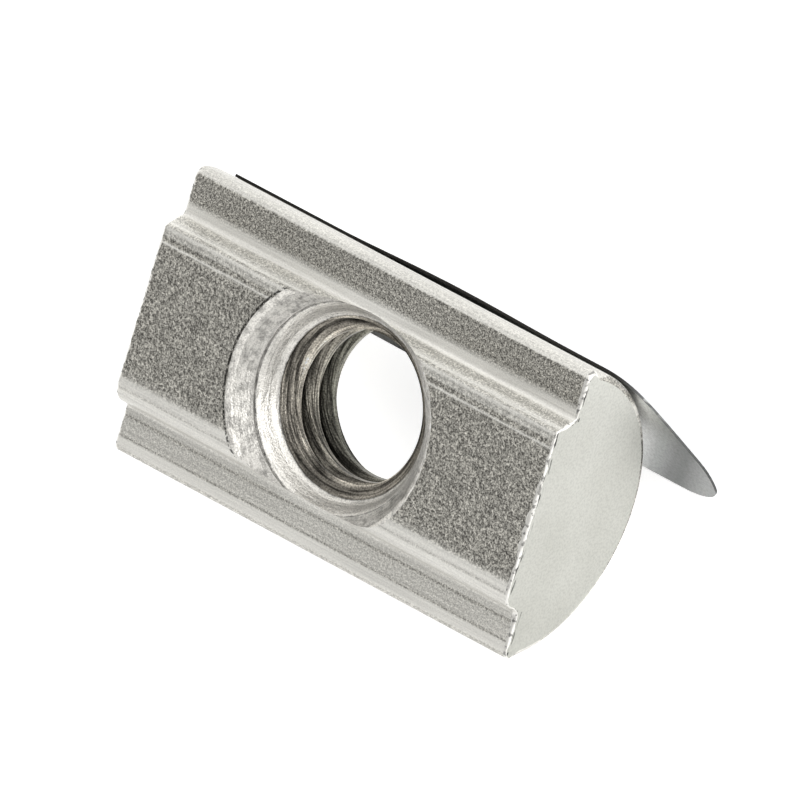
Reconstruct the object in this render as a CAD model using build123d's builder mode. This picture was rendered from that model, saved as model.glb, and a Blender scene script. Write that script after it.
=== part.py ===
from build123d import *
from math import cos, degrees, radians, sin, tan
import os

# Roll-in T-slot nut, M8, for a profile slot 8 mm wide.
# X runs along the bar, Y across it, and Z along the thread, out through the tongue.
# The origin is on the thread's axis, where the hole's upper cone meets the thread.

# Half-round bar, with one edge of the tongue worn round
bar_width = 13.6
bar_height = 7.55
face_above_thread = 2.2
length_before_hole = 11.0
length_past_hole = 11.75
tongue_height = 1.15
tongue_root_width = 9.05
tongue_wall_angle = 67.5
tongue_edge_radius = 0.15
worn_edge_radius = 1.0
root_fillet = 0.25
shoulder_radius = 0.45
rolled_end_radius = 0.3

# M8 hole, bored to the thread's minor diameter. From above it has a countersink, then a
# steeper lead-in, then the cone that the drill's point left. From below it is countersunk.
thread_minor_radius = 3.35
drill_point_angle = 118
lead_in_angle = 60
countersink_angle = 90
lead_in_lower_radius = 4.16
lead_in_upper_radius = 4.62
lower_countersink_radius = 5.75
cut_clearance = 1.0

# Leaf spring: its tail hugs the round back, its middle flattens, and its nose is flat
leaf_thickness = 0.12
leaf_clearance = 0.02
leaf_start = -10.4
leaf_bends_from = -4.5
leaf_flat_from = 8.5
contact_angle = 45
tail_above_contact = 2.85
tail_below_contact = 4.0
nose_above_contact = 1.48
nose_below_contact = 5.35
nose_gap = 0.1
bend_stations = 6

# Outline of the nose: X along the bar, Y from the upper edge to the lower one
nose_start = (10.0, 0)
nose_shoulder = (12.42, 1.28)
nose_flank = (14.0, 3.5)
nose_tip = (14.75, 5.6)
nose_lower_reach = 2.15

# Two stakes peened over from the bar hold the leaf's tail
stake_radius = 0.6
stake_root = 0.4
stake_head_radius = 0.95
stake_head_height = 0.2
stake_head_rounding = 0.12
stake_angle = 50
stake_hole_clearance = 0.05
stake_positions = (-9.0, -6.4)

# Derived places
back_radius = bar_width / 2
face_z = face_above_thread
shoulder_z = face_z - tongue_height
apex_z = face_z - bar_height
back_centre_z = apex_z + back_radius
bar_length = length_before_hole + length_past_hole
lead_in_from_z = (lead_in_lower_radius - thread_minor_radius) / tan(radians(drill_point_angle / 2))
lead_in_depth = (lead_in_upper_radius - lead_in_lower_radius) / tan(radians(lead_in_angle / 2))
lead_in_to_z = lead_in_from_z + lead_in_depth
cut_top_z = face_z + cut_clearance
cut_top_radius = lead_in_upper_radius + (cut_top_z - lead_in_to_z) * tan(radians(countersink_angle / 2))
leaf_width = nose_above_contact + nose_below_contact
tail_radius = back_radius + leaf_clearance

# The direction in which the back, and the leaf on it, face at an angle below +Y
contact_out = Vector(0, cos(radians(contact_angle)), -sin(radians(contact_angle)))
stake_out = Vector(0, cos(radians(stake_angle)), -sin(radians(stake_angle)))
leaf_across = Vector(0, -sin(radians(contact_angle)), -cos(radians(contact_angle)))
back_centre = Vector(0, 0, back_centre_z)

# Inner face of the flat nose, with its origin on the upper edge
nose_contact = back_centre + contact_out * (back_radius + nose_gap)
nose_plane = Plane(
    origin=nose_contact - leaf_across * nose_above_contact,
    x_dir=(1, 0, 0),
    z_dir=contact_out,
)
leaf_end_plane = Plane(
    origin=nose_plane.origin + Vector(leaf_flat_from, 0, 0),
    x_dir=leaf_across,
    z_dir=(1, 0, 0),
)

# Each stake grows out of the back, square to it
stake_planes = [
    Plane(origin=Vector(x, 0, back_centre_z) + stake_out * back_radius, z_dir=stake_out)
    for x in stake_positions
]
stake_foot_planes = [plane.offset(-stake_root) for plane in stake_planes]
stake_head_planes = [plane.offset(leaf_clearance + leaf_thickness) for plane in stake_planes]
stake_height = stake_root + leaf_clearance + leaf_thickness + stake_head_height


# Nut body: a drawn half-round bar with a tongue, cut to length, countersunk and tapped
with BuildPart() as nut_body:
    with BuildSketch(Plane.YZ.offset(-length_before_hole)) as bar_section:
        with Locations((0, back_centre_z)):
            Circle(back_radius)
        with Locations((0, shoulder_z)):
            Rectangle(bar_width, bar_width, align=(Align.CENTER, Align.MIN), mode=Mode.SUBTRACT)
            Trapezoid(
                tongue_root_width,
                tongue_height,
                tongue_wall_angle,
                align=(Align.CENTER, Align.MIN),
            )
        fillet(bar_section.vertices().group_by(Axis.Y)[-2].sort_by(Axis.X)[::3], shoulder_radius)
        fillet(bar_section.vertices().group_by(Axis.Y)[-2].sort_by(Axis.X)[1:3], root_fillet)
        fillet(bar_section.vertices().group_by(Axis.Y)[-1].sort_by(Axis.X)[-1], tongue_edge_radius)
        fillet(bar_section.vertices().group_by(Axis.Y)[-1].sort_by(Axis.X)[0], worn_edge_radius)
    extrude(amount=bar_length)
    far_end = nut_body.faces().sort_by(Axis.X)[-1]
    fillet(far_end.edges().sort_by(Axis.Z)[0], rolled_end_radius)
    with BuildSketch(Plane.XZ):
        with BuildLine():
            Polyline(
                (0, 0),
                (thread_minor_radius, 0),
                (lead_in_lower_radius, lead_in_from_z),
                (lead_in_upper_radius, lead_in_to_z),
                (cut_top_radius, cut_top_z),
                (0, cut_top_z),
                close=True,
            )
        make_face()
    revolve(axis=Axis.Z, mode=Mode.SUBTRACT)
    with Locations(Plane(origin=(0, 0, apex_z), z_dir=(0, 0, -1))):
        CounterSinkHole(
            thread_minor_radius,
            lower_countersink_radius,
            counter_sink_angle=countersink_angle,
        )
    with Locations(*stake_foot_planes):
        Cylinder(
            stake_radius,
            stake_height,
            align=(Align.CENTER, Align.CENTER, Align.MIN),
        )
    with Locations(*stake_head_planes):
        Cylinder(
            stake_head_radius,
            stake_head_height,
            align=(Align.CENTER, Align.CENTER, Align.MIN),
        )
    stake_edges = nut_body.edges(Select.LAST).filter_by(GeomType.CIRCLE)
    stake_axis = Axis(tuple(back_centre), tuple(stake_out))
    fillet(stake_edges.group_by(stake_axis)[-1], stake_head_rounding)


# Leaf spring: a strip of spring steel bent around the back, with a flat rounded nose
with BuildPart() as leaf_spring:
    for station in range(bend_stations):
        share = station / bend_stations
        blend = (1 - cos(radians(180 * share))) / 2
        above = tail_above_contact + (nose_above_contact - tail_above_contact) * blend
        below = tail_below_contact + (nose_below_contact - tail_below_contact) * blend
        contact_radius = tail_radius + (nose_gap - leaf_clearance) * blend
        bend_radius = tail_radius / (1 - blend)
        centre = back_centre + contact_out * (contact_radius - bend_radius)
        upper_angle = degrees(above / bend_radius)
        lower_angle = degrees(below / bend_radius)
        station_x = leaf_bends_from + (leaf_flat_from - leaf_bends_from) * share
        with BuildSketch(Plane.YZ.offset(station_x)):
            with BuildLine():
                inner = CenterArc(
                    (centre.Y, centre.Z),
                    bend_radius,
                    upper_angle - contact_angle,
                    -upper_angle - lower_angle,
                )
                outer = CenterArc(
                    (centre.Y, centre.Z),
                    bend_radius + leaf_thickness,
                    upper_angle - contact_angle,
                    -upper_angle - lower_angle,
                )
                Line(inner @ 0, outer @ 0)
                Line(inner @ 1, outer @ 1)
            make_face()
    with BuildSketch(leaf_end_plane):
        Rectangle(leaf_width, leaf_thickness, align=(Align.MIN, Align.MIN))
    loft()
    extrude(leaf_spring.faces().sort_by(Axis.X)[0], amount=leaf_bends_from - leaf_start)
    with BuildSketch(nose_plane):
        with BuildLine():
            Line((leaf_flat_from, 0), nose_start)
            Spline(nose_start, nose_shoulder, nose_flank, nose_tip, tangents=[(1, 0), (0, 1)])
            EllipticalCenterArc(
                (nose_tip[0] - nose_lower_reach, nose_tip[1]),
                nose_lower_reach,
                leaf_width - nose_tip[1],
                start_angle=0,
                arc_size=90,
            )
            Line((nose_tip[0] - nose_lower_reach, leaf_width), (leaf_flat_from, leaf_width))
            Line((leaf_flat_from, leaf_width), (leaf_flat_from, 0))
        make_face()
    extrude(amount=leaf_thickness)
    with Locations(*stake_foot_planes):
        Cylinder(
            stake_radius + stake_hole_clearance,
            stake_height,
            align=(Align.CENTER, Align.CENTER, Align.MIN),
            mode=Mode.SUBTRACT,
        )

nut_body.part.label = "nut_body"
leaf_spring.part.label = "leaf_spring"

os.makedirs("parts", exist_ok=True)
export_step(nut_body.part, "parts/nut_body.step")
export_step(leaf_spring.part, "parts/leaf_spring.step")
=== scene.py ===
import bpy
import bmesh
from math import atan2, cos, hypot, pi, radians, sin, sqrt
from mathutils import Matrix, Vector, noise


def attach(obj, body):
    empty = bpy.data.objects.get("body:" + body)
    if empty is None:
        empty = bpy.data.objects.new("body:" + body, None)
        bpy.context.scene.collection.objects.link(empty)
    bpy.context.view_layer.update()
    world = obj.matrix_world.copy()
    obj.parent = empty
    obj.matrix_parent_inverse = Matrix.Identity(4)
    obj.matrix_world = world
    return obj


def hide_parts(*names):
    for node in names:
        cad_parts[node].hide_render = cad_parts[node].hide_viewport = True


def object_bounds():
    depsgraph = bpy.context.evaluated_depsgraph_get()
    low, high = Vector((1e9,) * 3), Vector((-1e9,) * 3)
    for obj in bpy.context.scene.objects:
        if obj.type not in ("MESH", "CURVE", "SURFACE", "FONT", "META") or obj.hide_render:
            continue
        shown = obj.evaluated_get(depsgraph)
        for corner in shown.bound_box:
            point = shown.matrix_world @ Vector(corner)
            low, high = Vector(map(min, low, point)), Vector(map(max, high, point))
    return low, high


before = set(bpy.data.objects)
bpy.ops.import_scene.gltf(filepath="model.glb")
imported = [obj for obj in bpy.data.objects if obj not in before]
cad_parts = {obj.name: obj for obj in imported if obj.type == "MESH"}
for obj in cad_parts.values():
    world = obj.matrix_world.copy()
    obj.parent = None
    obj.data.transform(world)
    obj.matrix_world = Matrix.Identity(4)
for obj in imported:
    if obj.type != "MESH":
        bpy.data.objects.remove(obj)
cad_low, cad_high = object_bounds()

# ---------------------------------------------------------------------------
# Camera: a long lens more than a metre away, so that the nut's edges stay
# parallel. It is turned on its own axis until the bar runs from the upper left
# down to the lower right.
MM = 0.001
CAMERA_PLACE_MM = (677.08, 369.43, 995.06)
CAMERA_RIGHT = (0.7444, 0.2770, -0.6076)
CAMERA_AHEAD = (-0.5368, -0.2928, -0.7912)
FOCAL_PIXELS = 29113.8
IMAGE_PIXELS = 800
SENSOR_MM = 36

camera_data = bpy.data.cameras.new("long_lens")
camera_data.sensor_width = SENSOR_MM
camera_data.lens = SENSOR_MM * FOCAL_PIXELS / IMAGE_PIXELS
camera_data.clip_start = 0.1
camera_data.clip_end = 10
camera = bpy.data.objects.new("camera", camera_data)
bpy.context.scene.collection.objects.link(camera)
camera_back = -Vector(CAMERA_AHEAD).normalized()
camera_up = camera_back.cross(Vector(CAMERA_RIGHT)).normalized()
camera_right = camera_up.cross(camera_back)
camera_turn = Matrix((camera_right, camera_up, camera_back)).transposed().to_4x4()
camera.matrix_world = Matrix.Translation(Vector(CAMERA_PLACE_MM) * MM) @ camera_turn
bpy.context.scene.camera = camera

# ---------------------------------------------------------------------------
# Nut body: a half-round steel bar with a tongue, drawn to shape, sheared to
# length with a ragged lip at each end and the back's edge rolled over at the
# end towards +X, countersunk from both sides, tapped M8 and zinc plated.
BACK_RADIUS = 6.8
BACK_CENTRE_Z = 1.45
FACE_Z = 2.2
SHOULDER_Z = 1.05
TONGUE_ROOT_HALF = 4.525
WALL_ANGLE = radians(67.5)
SHOULDER_RADIUS = 0.45
ROOT_RADIUS = 0.25
TONGUE_EDGE_RADIUS = 0.15
WORN_EDGE_RADIUS = 1.0
BAR_FROM = -11.0
BAR_TO = 11.75
ROLLED_RADIUS = 0.3
OUTLINE_STEP = 0.09
SMALL_ARC_STEP = 0.04
SHOULDER_ARC_STEP = 0.06
BACK_ARC_STEP = 0.25


def arc_points(centre, radius, start, end, step):
    """Points along an arc in the bar's section, in millimetres."""
    count = max(3, int(abs(end - start) * radius / step) + 1)
    turns = [start + (end - start) * k / count for k in range(count + 1)]
    return [(centre[0] + radius * cos(a), centre[1] + radius * sin(a)) for a in turns]


def half_section(edge_radius):
    """The section's outline from the tongue's middle out to the round back, for positive Y."""
    wall_y, wall_z = sin(WALL_ANGLE), cos(WALL_ANGLE)
    wall_reach = TONGUE_ROOT_HALF * wall_y + SHOULDER_Z * wall_z
    edge_z = FACE_Z - edge_radius
    edge_y = (wall_reach - edge_radius - wall_z * edge_z) / wall_y
    root_z = SHOULDER_Z + ROOT_RADIUS
    root_y = (wall_reach + ROOT_RADIUS - wall_z * root_z) / wall_y
    corner_z = SHOULDER_Z - SHOULDER_RADIUS
    corner_y = sqrt((BACK_RADIUS - SHOULDER_RADIUS) ** 2 - (BACK_CENTRE_Z - corner_z) ** 2)
    meets_back = atan2(corner_z - BACK_CENTRE_Z, corner_y)
    points = [(0, FACE_Z)]
    points += arc_points((edge_y, edge_z), edge_radius, pi / 2, pi / 2 - WALL_ANGLE, SMALL_ARC_STEP)
    points += arc_points(
        (root_y, root_z), ROOT_RADIUS, 1.5 * pi - WALL_ANGLE, 1.5 * pi, SMALL_ARC_STEP,
    )
    points += arc_points(
        (corner_y, corner_z), SHOULDER_RADIUS, pi / 2, meets_back, SHOULDER_ARC_STEP,
    )
    points += arc_points((0, BACK_CENTRE_Z), BACK_RADIUS, meets_back, -pi / 2, BACK_ARC_STEP)[1:]
    return points


def divided(points, step):
    """The same outline with its long straight runs cut into steps."""
    result = []
    for (y0, z0), (y1, z1) in zip(points, points[1:]):
        count = max(1, int(hypot(y1 - y0, z1 - z0) / step))
        result += [(y0 + (y1 - y0) * k / count, z0 + (z1 - z0) * k / count) for k in range(count)]
    return result + [points[-1]]


# The tongue's edge is crisp on the far side, towards +Y, and worn round on the
# near side, towards -Y
far_side = divided(half_section(TONGUE_EDGE_RADIUS), OUTLINE_STEP)
near_side = [(-y, z) for y, z in divided(half_section(WORN_EDGE_RADIUS), OUTLINE_STEP)]
outline = far_side + near_side[-2:0:-1]


def outward(index):
    """The outline's outward direction at one point."""
    y0, z0 = outline[index - 1]
    y1, z1 = outline[(index + 1) % len(outline)]
    length = hypot(y1 - y0, z1 - z0)
    return -(z1 - z0) / length, (y1 - y0) / length


RAGGED_SLOW_PER_MM = 0.8
RAGGED_QUICK_PER_MM = 2.6


def ragged(y, z, end):
    """A number from 0 to 1 that wanders around the outline, slowly and in small steps."""
    slow = noise.noise(Vector((y * RAGGED_SLOW_PER_MM, z * RAGGED_SLOW_PER_MM, end)))
    quick = noise.noise(Vector((y * RAGGED_QUICK_PER_MM, z * RAGGED_QUICK_PER_MM, end + 7)))
    return max(0.0, min(1.0, 0.45 + 0.7 * slow + 0.6 * quick))


# Each end is five rings on a quarter turn, from the end face to the bar's side.
# The lip grows with height, between a least and a greatest length and depth, and
# is smaller at the first end, towards -X.
RING_TURNS = (90, 67.5, 45, 22.5, 0)
LIP_LENGTH = (0.06, 0.27)
LIP_DEPTH = (0.04, 0.16)
LIP_GROWS_FROM_Z = 0.1
LIP_GROWS_OVER = 0.6
FIRST_LIP_SHARE = 0.6
CRISP = 0.03
bar = bmesh.new()
rings = []
for end, direction in ((BAR_FROM, 1), (BAR_TO, -1)):
    ends = [[] for turn in RING_TURNS]
    back_radius = CRISP if direction == 1 else ROLLED_RADIUS
    for index, (y, z) in enumerate(outline):
        out_y, out_z = outward(index)
        front = max(0.0, min(1.0, (z - LIP_GROWS_FROM_Z) / LIP_GROWS_OVER))
        length = LIP_LENGTH[0] + (LIP_LENGTH[1] - LIP_LENGTH[0]) * ragged(y, z, end)
        depth = LIP_DEPTH[0] + (LIP_DEPTH[1] - LIP_DEPTH[0]) * ragged(y, z, end + 3)
        if direction == 1:
            length, depth = FIRST_LIP_SHARE * length, FIRST_LIP_SHARE * depth
        length = back_radius + (length - back_radius) * front
        depth = back_radius + (depth - back_radius) * front
        for ring, turn in zip(ends, RING_TURNS):
            along = direction * length * (1 - sin(radians(turn)))
            inset = depth * (1 - cos(radians(turn)))
            place = ((end + along) * MM, (y - out_y * inset) * MM, (z - out_z * inset) * MM)
            ring.append(bar.verts.new(place))
    rings += ends if direction == 1 else ends[::-1]
for ring, following in zip(rings, rings[1:]):
    for index in range(len(outline)):
        other = (index + 1) % len(outline)
        bar.faces.new((ring[index], ring[other], following[other], following[index]))
bar.faces.new(rings[0])
bar.faces.new(rings[-1][::-1])
bmesh.ops.recalc_face_normals(bar, faces=bar.faces)


def new_piece(name, mesh_data):
    """Puts a bmesh into the scene as an object at the origin."""
    mesh = bpy.data.meshes.new(name)
    mesh_data.to_mesh(mesh)
    mesh_data.free()
    piece = bpy.data.objects.new(name, mesh)
    bpy.context.scene.collection.objects.link(piece)
    return piece


nut = new_piece("tapped_nut_body", bar)

# The hole as one turned shape, from above down: countersink, lead-in, drill
# point, the bore at the thread's crests, and the lower countersink. The tool
# chattered, so the upper part wanders in and out, more towards the rim.
CREST_RADIUS = 3.35
HOLE_PROFILE = (
    (0, 3.2),
    (6.62, 3.2),
    (5.78, 2.28),
    (5.59, 2.19),
    (5.48, 2.11),
    (5.36, 2.02),
    (5.20, 1.86),
    (5.00, 1.66),
    (4.80, 1.46),
    (4.70, 1.38),
    (4.68, 1.30),
    (4.60, 1.25),
    (4.42, 0.95),
    (4.28, 0.70),
    (4.16, 0.487),
    (4.0, 0.39),
    (CREST_RADIUS, 0.0),
    (CREST_RADIUS, -2.95),
    (6.90, -6.5),
    (0, -6.5),
)
HOLE_SEGMENTS = 240
CHATTER = 0.045
CHATTER_FROM_Z = 0.4
CHATTER_SLOW_PER_MM = 0.5
CHATTER_QUICK_PER_MM = 2.6
CHATTER_STEEP_PER_MM = 1.2


def chatter(angle, radius, z):
    """How far the chattering tool cut outside or inside its circle, in millimetres."""
    share = max(0.0, min(1.0, (z - CHATTER_FROM_Z) / (FACE_Z - CHATTER_FROM_Z)))
    x, y = radius * cos(angle), radius * sin(angle)
    slow_x, slow_y = x * CHATTER_SLOW_PER_MM, y * CHATTER_SLOW_PER_MM
    quick_x, quick_y = x * CHATTER_QUICK_PER_MM, y * CHATTER_QUICK_PER_MM
    slow = noise.noise(Vector((slow_x, slow_y, 2.0)))
    quick = noise.noise(Vector((quick_x, quick_y, z * CHATTER_STEEP_PER_MM)))
    return CHATTER * share * (0.8 * slow + 1.2 * quick)


def hole_point(angle, radius, z):
    """A point of the hole's wall, or of its axis where the radius is 0."""
    reach = radius + chatter(angle, radius, z) if radius else 0
    return reach * cos(angle) * MM, reach * sin(angle) * MM, z * MM


def turned_shape(profile, segments, point):
    """A closed shape turned from pairs of radius and height. point gives each point's place."""
    shape = bmesh.new()
    loops = []
    for radius, height in profile:
        angles = [2 * pi * k / segments for k in range(segments if radius else 1)]
        places = [point(angle, radius, height) for angle in angles]
        loops.append([shape.verts.new(place) for place in places])
    for upper, lower in zip(loops, loops[1:]):
        for k in range(segments):
            n = (k + 1) % segments
            if len(upper) == 1:
                shape.faces.new((upper[0], lower[k], lower[n]))
            elif len(lower) == 1:
                shape.faces.new((upper[n], upper[k], lower[0]))
            else:
                shape.faces.new((upper[n], upper[k], lower[k], lower[n]))
    bmesh.ops.recalc_face_normals(shape, faces=shape.faces)
    return shape


hole_cutter = new_piece("hole_cutter", turned_shape(HOLE_PROFILE, HOLE_SEGMENTS, hole_point))


def add_node(tree, kind, settings=None, links=None):
    """Adds a node. settings sets attributes and inputs, links joins inputs to outputs."""
    node = tree.nodes.new(kind)
    for name, value in (settings or {}).items():
        if isinstance(name, str) and hasattr(node, name):
            setattr(node, name, value)
        else:
            node.inputs[name].default_value = value
    for name, socket in (links or {}).items():
        tree.links.new(socket, node.inputs[name])
    return node


def node_tree(name, sizes):
    """A Geometry Nodes tree with a named input for each size, and its two end nodes."""
    tree = bpy.data.node_groups.new(name, "GeometryNodeTree")
    tree.interface.new_socket("Geometry", in_out="INPUT", socket_type="NodeSocketGeometry")
    tree.interface.new_socket("Geometry", in_out="OUTPUT", socket_type="NodeSocketGeometry")
    for size, kind in sizes:
        tree.interface.new_socket(size, in_out="INPUT", socket_type=kind)
    return tree, tree.nodes.new("NodeGroupInput"), tree.nodes.new("NodeGroupOutput")


def evaluated_mesh(piece):
    """The plain mesh that a piece's modifiers give."""
    evaluated = piece.evaluated_get(bpy.context.evaluated_depsgraph_get())
    return bpy.data.meshes.new_from_object(evaluated)


def finished_by(piece, tree, values):
    """Runs a tree on a piece with the named values, and leaves the result as its plain mesh."""
    modifier = piece.modifiers.new(tree.name, "NODES")
    modifier.node_group = tree
    for item in tree.interface.items_tree:
        if item.in_out == "INPUT" and item.name in values:
            modifier[item.identifier] = values[item.name]
    result = evaluated_mesh(piece)
    piece.modifiers.clear()
    piece.data = result


# The thread's groove: a trapezium that follows a helix, right-handed, 1.25 mm a
# turn. Its section is a little deeper than the thread towards the axis, so that
# it cuts through the bore's wall.
PITCH = 1.25
ROOT_THREAD_RADIUS = 4.0
CREST_FLAT = PITCH / 4
ROOT_FLAT = PITCH / 8
OVERCUT = 0.15
CREST_ANGLE = radians(199.5)
CREST_Z = -0.15
TURNS = 7
TURNS_BELOW_CREST = 4.5
groove_half = (PITCH - CREST_FLAT) / 2
groove_slope = (groove_half - ROOT_FLAT / 2) / (ROOT_THREAD_RADIUS - CREST_RADIUS)
groove_depth = ROOT_THREAD_RADIUS - CREST_RADIUS + OVERCUT

coil_tree, given, result = node_tree(
    "thread_groove",
    (
        ("Pitch", "NodeSocketFloat"),
        ("Turns", "NodeSocketFloat"),
        ("Root Radius", "NodeSocketFloat"),
        ("Depth", "NodeSocketFloat"),
        ("Mouth Width", "NodeSocketFloat"),
        ("Root Width", "NodeSocketFloat"),
        ("Start", "NodeSocketVector"),
        ("Turned", "NodeSocketVector"),
    ),
)
height = add_node(
    coil_tree, "ShaderNodeMath", {"operation": "MULTIPLY"},
    {0: given.outputs["Pitch"], 1: given.outputs["Turns"]},
)
half_depth = add_node(
    coil_tree, "ShaderNodeMath", {"operation": "MULTIPLY", 1: 0.5}, {0: given.outputs["Depth"]},
)
middle = add_node(
    coil_tree, "ShaderNodeMath", {"operation": "SUBTRACT"},
    {0: given.outputs["Root Radius"], 1: half_depth.outputs[0]},
)
helix = add_node(
    coil_tree,
    "GeometryNodeCurveSpiral",
    {"Resolution": HOLE_SEGMENTS, "Reverse": True},
    {
        "Rotations": given.outputs["Turns"], "Start Radius": middle.outputs[0],
        "End Radius": middle.outputs[0], "Height": height.outputs[0],
    },
)
upright = add_node(coil_tree, "GeometryNodeSetCurveNormal", {"mode": "Z_UP"}, {0: helix.outputs[0]})
section = add_node(
    coil_tree,
    "GeometryNodeCurvePrimitiveQuadrilateral",
    {"mode": "TRAPEZOID", "Offset": 0.0},
    {
        "Height": given.outputs["Depth"], "Bottom Width": given.outputs["Mouth Width"],
        "Top Width": given.outputs["Root Width"],
    },
)
on_side = add_node(
    coil_tree, "GeometryNodeTransform", {"Rotation": (0, 0, -pi / 2)}, {0: section.outputs[0]},
)
swept = add_node(
    coil_tree, "GeometryNodeCurveToMesh", {"Fill Caps": True},
    {0: upright.outputs[0], 1: on_side.outputs[0]},
)
placed = add_node(
    coil_tree, "GeometryNodeTransform", {},
    {
        0: swept.outputs[0], "Translation": given.outputs["Start"],
        "Rotation": given.outputs["Turned"],
    },
)
coil_tree.links.new(placed.outputs[0], result.inputs[0])

groove_cutter = new_piece("groove_cutter", bmesh.new())
coil_values = {
    "Pitch": PITCH * MM,
    "Turns": float(TURNS),
    "Root Radius": ROOT_THREAD_RADIUS * MM,
    "Depth": groove_depth * MM,
    "Mouth Width": 2 * (groove_half + OVERCUT * groove_slope) * MM,
    "Root Width": ROOT_FLAT * MM,
    "Start": (0, 0, (CREST_Z - PITCH * TURNS_BELOW_CREST) * MM),
    "Turned": (0, 0, CREST_ANGLE),
}
finished_by(groove_cutter, coil_tree, coil_values)

for cutter_piece in (hole_cutter, groove_cutter):
    cut = nut.modifiers.new("cut", "BOOLEAN")
    cut.operation = "DIFFERENCE"
    cut.solver = "EXACT"
    cut.object = cutter_piece
finished = evaluated_mesh(nut)
nut.modifiers.clear()
# The cuts leave slivers under a micrometre wide, which are welded shut, and
# vertices along straight edges, which would leave doubled triangles
SLIVER_MM = 0.001
welded = bmesh.new()
welded.from_mesh(finished)
bmesh.ops.remove_doubles(welded, verts=welded.verts, dist=SLIVER_MM * MM)
on_edges = [corner for corner in welded.verts if len(corner.link_edges) == 2]
bmesh.ops.dissolve_verts(welded, verts=on_edges)
welded.to_mesh(finished)
welded.free()
nut.data = finished
for cutter_piece in (hole_cutter, groove_cutter):
    bpy.data.objects.remove(cutter_piece)


def colour(code):
    """sRGB hex to the linear colour that a shader takes."""
    parts = [int(code[i:i + 2], 16) / 255 for i in (1, 3, 5)]
    return tuple(p / 12.92 if p <= 0.04045 else ((p + 0.055) / 1.055) ** 2.4 for p in parts) + (1,)


def new_material(name):
    """A material with only its output, its tree, and the object's own coordinates."""
    material = bpy.data.materials.new(name)
    material.use_nodes = True
    tree = material.node_tree
    tree.nodes.clear()
    output = tree.nodes.new("ShaderNodeOutputMaterial")
    place = tree.nodes.new("ShaderNodeTexCoord").outputs["Object"]
    return material, tree, output, place


def per_metre(size_mm):
    """The scale at which a noise has features of this size."""
    return 1 / (size_mm * MM)


# Zinc plate over drawn steel: the plate follows the pickled steel's fine pits,
# which sparkle. Where the die and handling rubbed it, along the tongue's edges
# and the shoulders, it is smooth and light, in bands with fine dark lines
# between them. Pits and drawn lines are too fine to show at their real size, so
# they are about twice as coarse. In the table, each pair is a place across the
# bar in millimetres and how rubbed it is there.
RUBBED_ACROSS = (
    (-6.55, 0.35), (-6.4, 1.0), (-6.0, 1.0), (-5.93, 0.15), (-5.84, 0.6), (-5.1, 0.6),
    (-5.0, 0.05), (-4.9, 0.75), (-3.66, 1.0), (-3.57, 0.5), (-3.48, 1.0), (-3.15, 0.95),
    (-3.0, 0.25), (-2.6, 0.0), (3.20, 0.0), (3.29, 1.0), (3.39, 0.0), (3.56, 0.0), (3.68, 0.6),
    (3.8, 0.4), (3.98, 1.0), (4.08, 0.1), (4.15, 1.0), (4.30, 0.45), (4.41, 0.45), (4.46, 1.0),
    (4.9, 1.0), (5.25, 0.0), (6.42, 0.0), (6.49, 1.0),
)
RUBBED_TO = 6.57
RUBBED_REACH = 6.9
WAVER_MM = 0.11
WANDER_MM = 0.35
WANDER_STRETCH = 0.12
PIT_MM = 0.07
DIMPLE_MM = 0.15
PATCH_MM = 3.5
DRAWN_LINE_MM = 0.13
DRAWN_STRETCH = 0.02
PLATE_RELIEF_MM = 0.034
RIM_RADIUS = 5.69
FACE_ONLY_ABOVE = 2.0
zinc, tree, output, place = new_material("zinc_plate_over_drawn_steel")
pits = add_node(
    tree, "ShaderNodeTexNoise", {"Scale": per_metre(PIT_MM), "Detail": 2.0, "Roughness": 0.55},
    {"Vector": place},
).outputs[0]
dimples = add_node(
    tree, "ShaderNodeTexNoise", {"Scale": per_metre(DIMPLE_MM), "Detail": 1.0}, {"Vector": place},
).outputs[0]
patches = add_node(
    tree, "ShaderNodeTexNoise", {"Scale": per_metre(PATCH_MM), "Detail": 2.0}, {"Vector": place},
).outputs[0]
along = add_node(
    tree, "ShaderNodeVectorMath", {"operation": "MULTIPLY", 1: (DRAWN_STRETCH, 1, 1)}, {0: place},
).outputs[0]
drawn = add_node(
    tree, "ShaderNodeTexNoise",
    {"Scale": per_metre(DRAWN_LINE_MM), "Detail": 2.0, "Roughness": 0.6}, {"Vector": along},
).outputs[0]
wander = add_node(
    tree, "ShaderNodeVectorMath", {"operation": "MULTIPLY", 1: (WANDER_STRETCH, 1, 1)}, {0: place},
).outputs[0]
waver = add_node(
    tree, "ShaderNodeTexNoise", {"Scale": per_metre(WANDER_MM), "Detail": 3.0, "Roughness": 0.65},
    {"Vector": wander},
).outputs[0]
across = add_node(tree, "ShaderNodeSeparateXYZ", {}, {0: place})
ragged_line = add_node(
    tree, "ShaderNodeMath", {"operation": "MULTIPLY_ADD", 1: WAVER_MM * MM},
    {0: waver, 2: across.outputs["Y"]},
).outputs[0]
share = add_node(
    tree, "ShaderNodeMapRange",
    {
        "From Min": (WAVER_MM / 2 - RUBBED_REACH) * MM,
        "From Max": (WAVER_MM / 2 + RUBBED_REACH) * MM,
    },
    {"Value": ragged_line},
).outputs[0]
bands = add_node(tree, "ShaderNodeValToRGB", {}, {0: share})
bands.color_ramp.elements[0].color = (0.3, 0.3, 0.3, 1)
bands.color_ramp.elements[1].color = (0.75, 0.75, 0.75, 1)
bands.color_ramp.elements[1].position = (RUBBED_TO + RUBBED_REACH) / (2 * RUBBED_REACH)
for where, amount in RUBBED_ACROSS:
    stop = bands.color_ramp.elements.new((where + RUBBED_REACH) / (2 * RUBBED_REACH))
    stop.color = (amount, amount, amount, 1)
rubbed = bands.outputs[0]
pit_depth = add_node(
    tree, "ShaderNodeMapRange", {"To Min": 1.0, "To Max": 0.28}, {"Value": rubbed},
).outputs[0]
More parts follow.
